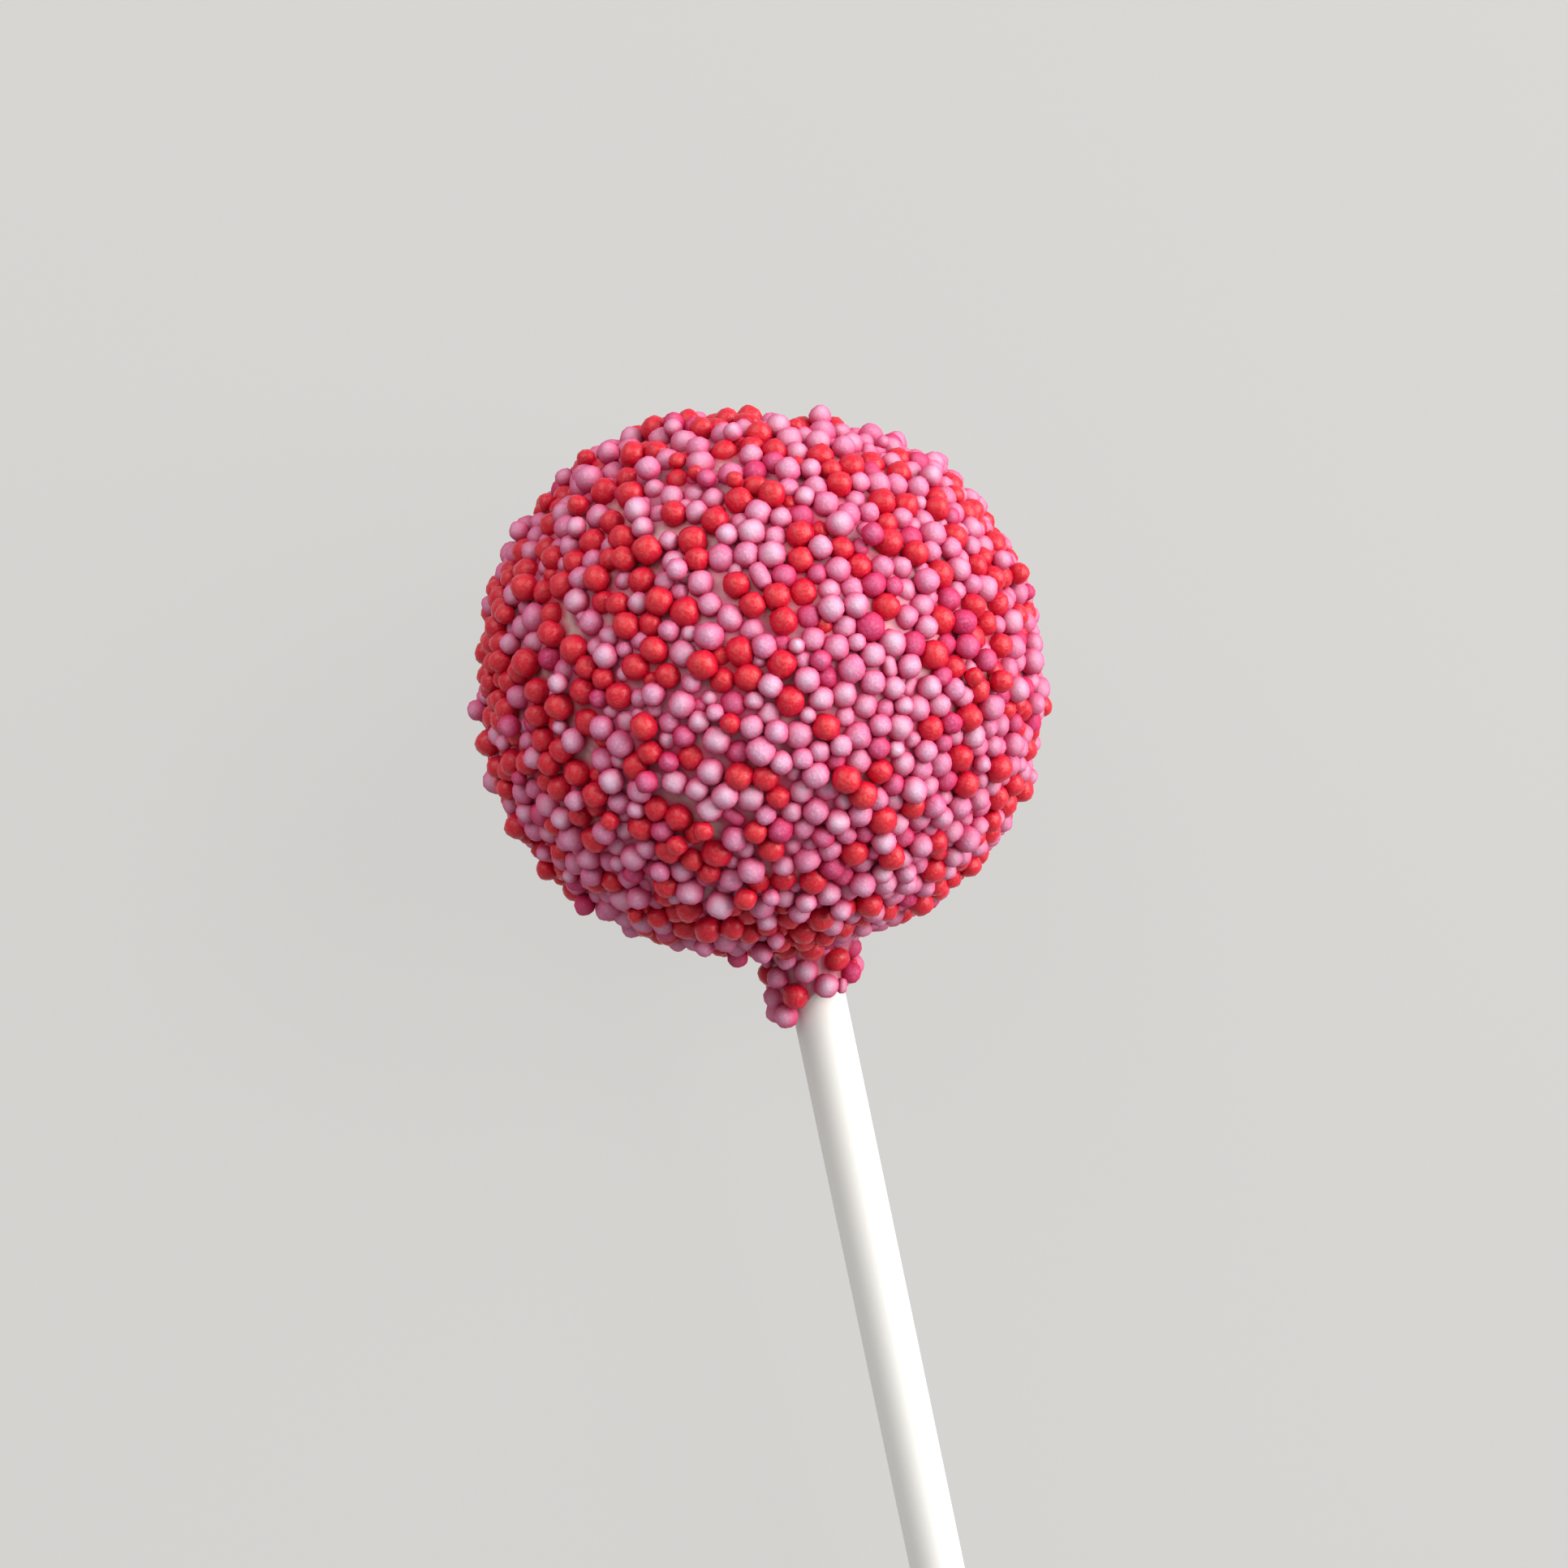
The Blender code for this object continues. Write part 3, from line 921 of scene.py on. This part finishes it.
tree = tree_of(ball_places)
outer = np.linalg.norm(local[:, :2], axis=1) > STICK_FIT + THIN
nearest = np.array([[hit[1] for hit in tree.find_n(place, 3)] for place in world])
gaps = np.linalg.norm(world[:, None] - ball_places[nearest], axis=2) - ball_radii[nearest]
gaps = np.maximum(gaps, 0)
rise = CREEP_HEIGHT * np.exp(-((gaps.min(axis=1) / CREEP_WIDTH) ** 2)) * outer
bleed_and_shade = np.exp(-gaps / BLEED_AND_SHADE_WIDTH)
weight = bleed_and_shade / np.maximum(bleed_and_shade.sum(axis=1, keepdims=True), 1e-9)
stain_and_shade = (ball_stain_and_shade[nearest] * weight[:, :, None]).sum(axis=1)
# The coat turns from ivory to stain and painted shade close to a ball
share = (BLEED_AND_SHADE_FAR - gaps.min(axis=1)) / (BLEED_AND_SHADE_FAR - BLEED_AND_SHADE_NEAR)
share = np.clip(share, 0, 1)[:, None]
colour = IVORY * (1 - share) + stain_and_shade * share

away = np.array([outward_at(place) for place in world])
world += away * rise[:, None]
world[:, 2] = np.maximum(world[:, 2], FLOOR)
set_points(cake.data, world + MIDDLE)
layer = cake.data.attributes.new("stain_and_shade", "FLOAT_COLOR", "POINT")
layer.data.foreach_set("color", np.column_stack([colour, np.ones(len(colour))]).ravel())
cake.data.shade_smooth()
print("the coat rises up to", round(float(rise.max()) / MM, 2), "mm beside a sugar ball")

# %% [markdown]
# The stick is a strip of paper rolled tight and glued. Its outer edge leaves a fine straight step
# along the whole length, here on the underside as the photo shows none, and its free end shows
# the rolled layers. A cylinder is cut into bands, its rim is bevelled, and its end is inset again
# and again, each ring a little in or out. Then its points are drawn in, a little more all the way
# round, so that the step is where the round closes.

# %% Paper stick
STICK_SIDES = 64
STICK_BANDS = 30
SEAM_TURN = math.radians(245)
SEAM_STEP = 0.045 * MM
LAYERS = 7
LAYER_DEPTH = 0.05 * MM
CORE_RADIUS = 0.25 * MM
CORE_DEPTH = 0.4 * MM
ON_RIM = 0.99  # share of the radius from which a point counts as outside
HAIR = 1e-6  # metres: two heights this close are the same

stick_radius = STICK_DIAMETER / 2
stick_start = -STICK_PAST_MIDDLE
stick_end = STICK_LENGTH - STICK_PAST_MIDDLE
clear_selection()
bpy.ops.mesh.primitive_cylinder_add(
    vertices=STICK_SIDES,
    radius=stick_radius,
    depth=STICK_LENGTH,
    location=(0, 0, (stick_start + stick_end) / 2),
)
stick = bpy.context.active_object
stick.name = "rolled_paper_stick"
bpy.ops.object.transform_apply(location=True, rotation=True, scale=True)

edit(stick)
for band in range(1, STICK_BANDS):
    bpy.ops.mesh.select_all(action="SELECT")
    level = stick_start + STICK_LENGTH * band / STICK_BANDS
    bpy.ops.mesh.bisect(plane_co=(0, 0, level), plane_no=(0, 0, 1))
pick(stick, lambda edge: all(
    abs(corner.z - stick_end) < HAIR and corner.xy.length > ON_RIM * stick_radius
    for corner in (stick.data.vertices[number].co for number in edge.vertices)
), "edges")
bpy.ops.mesh.bevel(offset=STICK_BEVEL, segments=4, profile=0.5)
pick(stick, lambda face: face.center.z > stick_end - HAIR, "polygons")
layer_width = (stick_radius - STICK_BEVEL - CORE_RADIUS) / LAYERS
for ring in range(LAYERS):
    push = LAYER_DEPTH * (-1 if ring % 2 == 0 else 0.7)
    bpy.ops.mesh.inset(thickness=layer_width * 0.25, depth=0)
    bpy.ops.transform.translate(value=(0, 0, push))
    bpy.ops.mesh.inset(thickness=layer_width * 0.75, depth=0)
bpy.ops.mesh.inset(thickness=0.05 * MM, depth=0)
bpy.ops.transform.translate(value=(0, 0, -CORE_DEPTH))
leave_edit()

local = points_of(stick.data)
turns = (np.arctan2(local[:, 1], local[:, 0]) - SEAM_TURN) % (2 * math.pi) / (2 * math.pi)
outer = np.linalg.norm(local[:, :2], axis=1) > ON_RIM * stick_radius
local[:, :2] *= (1 - outer * SEAM_STEP / stick_radius * turns)[:, None]

rolled = stick.data.uv_layers.new(name="rolled")
for loop in stick.data.loops:
    x, y, z = local[loop.vertex_index]
    rolled.data[loop.index].uv = (math.atan2(y, x) / (2 * math.pi), z)
ends = stick.data.attributes.new("end_face", "FLOAT", "POINT")
on_end = (local[:, 2] > stick_end - 0.6 * MM) & ~outer
ends.data.foreach_set("value", on_end.astype(np.float32))
distance = stick.data.attributes.new("from_ball", "FLOAT", "POINT")
distance.data.foreach_set("value", local[:, 2].astype(np.float32))
set_points(stick.data, local @ stick_frame + MIDDLE)
clear_selection()
stick.select_set(True)
bpy.context.view_layer.objects.active = stick
bpy.ops.object.shade_smooth_by_angle(angle=math.radians(30))
print(stick.name, "has", len(stick.data.polygons), "faces")

# %% [markdown]
# A finish is built from nodes. These helpers add a node and feed its inputs, mix two colours, do
# sums, map one range of values to another, read what a point carries, and raise a relief.

# %% Node helpers
def feed(tree, socket, value):
    """Links an input to another node's output, or sets it to a plain value."""
    if isinstance(value, bpy.types.NodeSocket):
        tree.links.new(value, socket)
    else:
        socket.default_value = value


def put(tree, kind, settings=None, **values):
    """Adds a node, sets it up, and feeds its inputs by name."""
    node = tree.nodes.new(kind)
    for label, value in (settings or {}).items():
        setattr(node, label, value)
    for label, value in values.items():
        feed(tree, node.inputs[label], value)
    return node


def mix(tree, share, first, second):
    """Mixes two colours and returns the result's socket."""
    node = tree.nodes.new("ShaderNodeMix")
    node.data_type = "RGBA"
    for number, value in ((0, share), (6, first), (7, second)):
        feed(tree, node.inputs[number], value)
    return node.outputs[2]


def maths(tree, operation, first, second):
    node = tree.nodes.new("ShaderNodeMath")
    node.operation = operation
    feed(tree, node.inputs[0], first)
    feed(tree, node.inputs[1], second)
    return node.outputs[0]


def ramp(tree, value, low, high, to_low=0.0, to_high=1.0):
    """Maps a value from one range to another, and stops at its ends."""
    node = put(tree, "ShaderNodeMapRange", Value=value)
    for label, number in (
        ("From Min", low), ("From Max", high), ("To Min", to_low), ("To Max", to_high)
    ):
        node.inputs[label].default_value = number
    return node.outputs["Result"]


def attribute(tree, name, output="Fac"):
    node = tree.nodes.new("ShaderNodeAttribute")
    node.attribute_name = name
    return node.outputs[output]


def bump(tree, shader, height, distance):
    node = put(tree, "ShaderNodeBump", Height=height, Strength=1.0, Distance=distance)
    tree.links.new(node.outputs["Normal"], shader.inputs["Normal"])


print("the node helpers are ready")

# %% [markdown]
# Sugar, candy and paper all have a fine grain. It is made once, as a group of nodes with its own
# named inputs, and used in every material with its own scale: a height for the bump, and masks of
# specks and of blotches for the colour.

# %% Fine grain
def new_group(name, inputs, outputs):
    """An empty group of nodes with these sockets, each (name, socket type, value)."""
    group = bpy.data.node_groups.new(name, "ShaderNodeTree")
    for label, kind, value in inputs:
        socket = group.interface.new_socket(label, in_out="INPUT", socket_type=kind)
        socket.default_value = value
    for label, kind in outputs:
        group.interface.new_socket(label, in_out="OUTPUT", socket_type=kind)
    return group, group.nodes.new("NodeGroupInput"), group.nodes.new("NodeGroupOutput")


FLOAT = "NodeSocketFloat"
grain, grain_in, grain_out = new_group(
    "fine_grain",
    [("Scale", FLOAT, 9000.0), ("Blotch Scale", FLOAT, 900.0)],
    [("Height", FLOAT), ("Specks", FLOAT), ("Blotches", FLOAT)],
)
place = grain.nodes.new("ShaderNodeTexCoord").outputs["Object"]
fine = put(grain, "ShaderNodeTexNoise", Vector=place, Scale=grain_in.outputs["Scale"], Detail=3.0)
wide = put(
    grain, "ShaderNodeTexNoise", Vector=place, Scale=grain_in.outputs["Blotch Scale"], Detail=2.0
)
grain.links.new(fine.outputs["Fac"], grain_out.inputs["Height"])
grain.links.new(ramp(grain, fine.outputs["Fac"], 0.45, 0.66), grain_out.inputs["Specks"])
grain.links.new(ramp(grain, wide.outputs["Fac"], 0.35, 0.65), grain_out.inputs["Blotches"])
print("group", grain.name, "is ready")


def add_grain(tree, scale, blotch_scale):
    node = tree.nodes.new("ShaderNodeGroup")
    node.node_tree = grain
    node.inputs["Scale"].default_value = scale
    node.inputs["Blotch Scale"].default_value = blotch_scale
    return node.outputs


def new_finish(name, roughness):
    """A new material: (material, its nodes, its shader)."""
    made = bpy.data.materials.new(name)
    made.use_nodes = True
    tree = made.node_tree
    shader = tree.nodes["Principled BSDF"]
    shader.inputs["Roughness"].default_value = roughness
    return made, tree, shader


# %% [markdown]
# A sugar ball is coloured sugar: dry, hard and finely grained, with a soft sheen where the light
# strikes it. Each ball has its own tone between two colours. It is palest where it stands out, and
# darker and richer all round its base and on a deeply sunk ball: that is painted shade, where the
# balls and the coat shade one another. Towards its outline it gets a richer rim colour, partly the
# tinted sugar seen at a slant and partly painted shade between the balls.

# %% Sugar finishes
GRAIN_SCALE = 5000.0
BLOTCH_SCALE = 900.0
GRAIN_HEIGHT = 0.045 * MM
BLOOM = 0.30
TIP_SIDE = 0.95  # where on a ball the painted shade starts, 1 at its tip
BASE_SIDE = -0.25
BASE_SHADE_SHARE = 0.85
# Rim colour towards each ball's outline: partly the tinted sugar seen at a slant, partly painted
# shade
RIM_SHARE = 0.95
RIM_WIDTH = 0.75
BLOTCH_SHARE = 0.35
SPECK_ROUGHNESS = 0.2  # how much rougher a speck is


def sugar_finish(name, roughness, gloss, dark, pale, rim, base_shade, bloom):
    made, tree, shader = new_finish(name, roughness)
    grains = add_grain(tree, GRAIN_SCALE, BLOTCH_SCALE)
    toned = mix(tree, attribute(tree, "tone"), dark, pale)
    blotched = mix(tree, maths(tree, "MULTIPLY", grains["Blotches"], BLOTCH_SHARE), toned, pale)
    # Painted shade: a darker, richer colour from each ball's tip to its base, more on a deeply sunk
    # ball
    sunk = ramp(tree, attribute(tree, "side"), TIP_SIDE, BASE_SIDE)
    specked = mix(tree, maths(tree, "MULTIPLY", grains["Specks"], BLOOM), blotched, bloom)
    # The rim: partly the tinted sugar seen at a slant, partly painted shade between the balls
    slant = put(tree, "ShaderNodeLayerWeight", Blend=RIM_WIDTH).outputs["Facing"]
    rim_shaded = mix(tree, maths(tree, "MULTIPLY", slant, RIM_SHARE), specked, rim)
    base_shaded = mix(tree, maths(tree, "MULTIPLY", sunk, BASE_SHADE_SHARE), rim_shaded, base_shade)
    tree.links.new(base_shaded, shader.inputs["Base Color"])
    rough = ramp(tree, grains["Specks"], 0.0, 1.0, roughness, roughness + SPECK_ROUGHNESS)
    tree.links.new(rough, shader.inputs["Roughness"])
    shader.inputs["Specular IOR Level"].default_value = gloss
    bump(tree, shader, grains["Height"], GRAIN_HEIGHT)
    return made


red_finish = sugar_finish(
    "red_sugar", roughness=0.28, gloss=0.30, bloom=(0.68, 0.16, 0.12, 1),
    dark=(0.49, 0.012, 0.028, 1), pale=(0.55, 0.032, 0.036, 1),
    rim=(0.54, 0.002, 0.027, 1), base_shade=(0.51, 0.002, 0.024, 1),
)
light_finish = sugar_finish(
    "light_pink_sugar", roughness=0.52, gloss=0.12, bloom=(0.78, 0.68, 0.79, 1),
    dark=(0.55, 0.21, 0.37, 1), pale=(0.64, 0.49, 0.62, 1),
    rim=(0.55, 0.095, 0.22, 1), base_shade=(0.54, 0.032, 0.12, 1),
)
deep_finish = sugar_finish(
    "deep_pink_sugar", roughness=0.50, gloss=0.12, bloom=(0.80, 0.34, 0.50, 1),
    dark=(0.45, 0.045, 0.14, 1), pale=(0.53, 0.160, 0.30, 1),
    rim=(0.48, 0.010, 0.08, 1), base_shade=(0.47, 0.008, 0.07, 1),
)
red_sugar.data.materials.append(red_finish)
light_sugar.data.materials.append(light_finish)
deep_sugar.data.materials.append(deep_finish)
print("three sugar finishes")

# %% [markdown]
# The coat is ivory candy with a soft sheen, stained by the sugar balls in it and darkened by
# painted shade in the chinks. Both come from the colour that each point took from its neighbours.

# %% Coat finish
MOTTLE = (0.45, 0.20, 0.22, 1)
MOTTLE_SHARE = 0.18
COAT_GRAIN = 0.02 * MM

coat_finish, tree, shader = new_finish("ivory_coat", 0.42)
grains = add_grain(tree, 4000.0, 500.0)
stain_and_shade_colour = attribute(tree, "stain_and_shade", "Color")
mottled = mix(tree, maths(tree, "MULTIPLY", grains["Blotches"], MOTTLE_SHARE), stain_and_shade_colour, MOTTLE)
tree.links.new(mottled, shader.inputs["Base Color"])
bump(tree, shader, grains["Height"], COAT_GRAIN)
cake.data.materials.append(coat_finish)
print("coat finish", coat_finish.name)

# %% [markdown]
# Rolled paper is smooth, white and slightly warm, with fibres that run along the stick. Its free
# end shows the edges of the layers as fine darker lines. Where it leaves the collar, a trace of
# pink has rubbed off on it.

# %% Paper finish
FIBRES_ALONG = 260.0
FIBRES_ROUND = 160.0
PAPER = (0.70, 0.69, 0.665, 1)
PAPER_SHADE = (0.62, 0.60, 0.565, 1)
PAPER_STAIN = (0.71, 0.52, 0.50, 1)
FIBRE_SHADE = 0.12
STAIN_REACH = 2.2 * MM
STAIN_SHARE = 0.5
END_SHADE = 0.6
FIBRE_HEIGHT = 0.3  # beside the fine grain's
PAPER_RELIEF = 0.006 * MM

paper_finish, tree, shader = new_finish("rolled_paper", 0.55)
sheet_place = put(tree, "ShaderNodeUVMap", {"uv_map": "rolled"}).outputs["UV"]
fibre_scale = (FIBRES_ROUND, FIBRES_ALONG, 1.0)
stretch = put(tree, "ShaderNodeMapping", Vector=sheet_place, Scale=fibre_scale)
fibres = put(tree, "ShaderNodeTexNoise", Vector=stretch.outputs["Vector"], Scale=1.0, Detail=4.0)
grains = add_grain(tree, 5000.0, 260.0)
fibre_mask = ramp(tree, fibres.outputs["Fac"], 0.45, 0.7)
shaded = mix(tree, maths(tree, "MULTIPLY", fibre_mask, FIBRE_SHADE), PAPER, PAPER_SHADE)
near_collar = ramp(tree, attribute(tree, "from_ball"), COLLAR_TIP + STAIN_REACH, COLLAR_TIP)
rubbed = maths(tree, "MULTIPLY", near_collar, grains["Blotches"])
tinted = mix(tree, maths(tree, "MULTIPLY", rubbed, STAIN_SHARE), shaded, PAPER_STAIN)
ending = maths(tree, "MULTIPLY", attribute(tree, "end_face"), END_SHADE)
ended = mix(tree, ending, tinted, PAPER_SHADE)
tree.links.new(ended, shader.inputs["Base Color"])
raised = maths(tree, "MULTIPLY", fibres.outputs["Fac"], FIBRE_HEIGHT)
bump(tree, shader, maths(tree, "ADD", raised, grains["Height"]), PAPER_RELIEF)
stick.data.materials.append(paper_finish)
print("paper finish", paper_finish.name)

# %% [markdown]
# Last, each piece is put on the root, and the solid of the frame that it stands for is hidden. The
# list gives each piece, that solid and its finish in the record.

# %% Hand the pieces to the frame
for piece, node, slot in (
    (cake, "coated_ball", "ivory_coat"),
    (red_sugar, "coated_ball", "red_sugar"),
    (light_sugar, "coated_ball", "light_pink_sugar"),
    (deep_sugar, "coated_ball", "deep_pink_sugar"),
    (stick, "stick", "rolled_paper"),
):
    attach(piece, "root")
    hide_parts(node)
    print(piece.name, "rides on root and stands for", node)

clear_selection()
